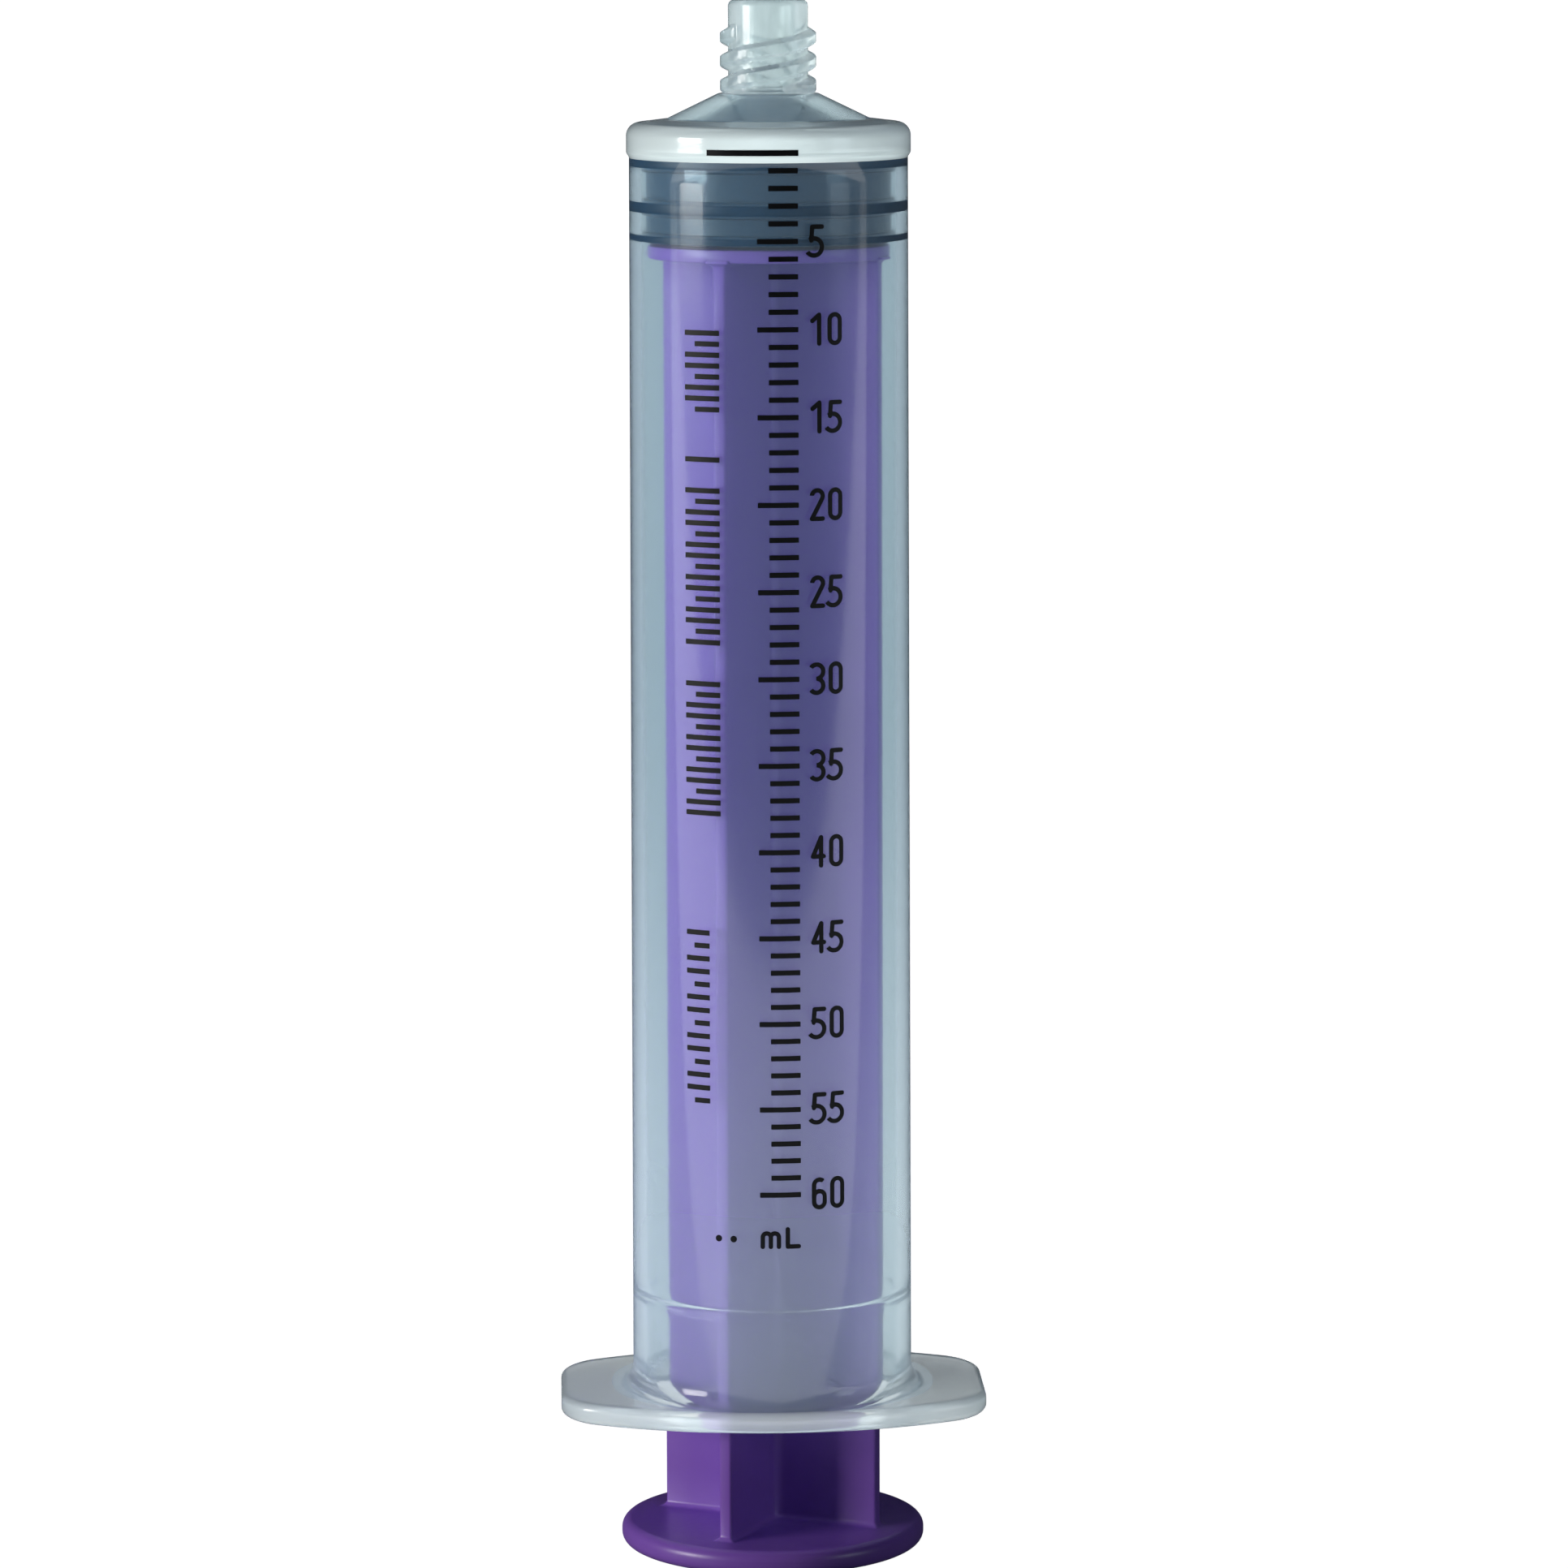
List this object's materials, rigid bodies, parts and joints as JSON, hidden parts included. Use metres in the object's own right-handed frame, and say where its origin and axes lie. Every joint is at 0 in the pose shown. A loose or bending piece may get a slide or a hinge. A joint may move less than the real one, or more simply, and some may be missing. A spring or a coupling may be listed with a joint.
{
  "type": "oral syringe",
  "caption": "Clear graduated barrel with finger flange and threaded feeding tip, rubber stopper, and a cross-ribbed plunger rod with a thumb disc.",
  "frame": {"origin": "centre of the thumb disc's underside, with the plunger pushed fully home", "axes": "+Z along the barrel's axis, towards the tip; -Y out of the middle of the printed scale; +X to the right of someone who reads the scale with the tip up"},
  "size_m": [0.0454, 0.0322, 0.1636],
  "materials": {
    "clear_plastic": "translucent, slightly hazy polypropylene",
    "stopper_rubber": "satin, lightly oiled",
    "purple_plastic": "satin moulded polypropylene",
    "ink": "black printed ink"
  },
  "bodies": {
    "barrel": {"barrel": "clear_plastic", "scale_lines": "ink", "scale_numerals": "ink", "unit_mark": "ink", "legend_bars": "ink"},
    "stopper": {"stopper": "stopper_rubber"},
    "rod": {"plunger_rod": "purple_plastic"}
  },
  "joints": [
    {"name": "plunger_slide", "type": "slide", "parent": "barrel", "child": "stopper", "axis": [0, 0, -1], "range_m": [0, 0.1102]},
    {"name": "rod_twist", "type": "hinge", "parent": "stopper", "child": "rod", "pos_m": [0, 0, 0.1415], "axis": [0, 0, 1], "continuous": true}
  ]
}
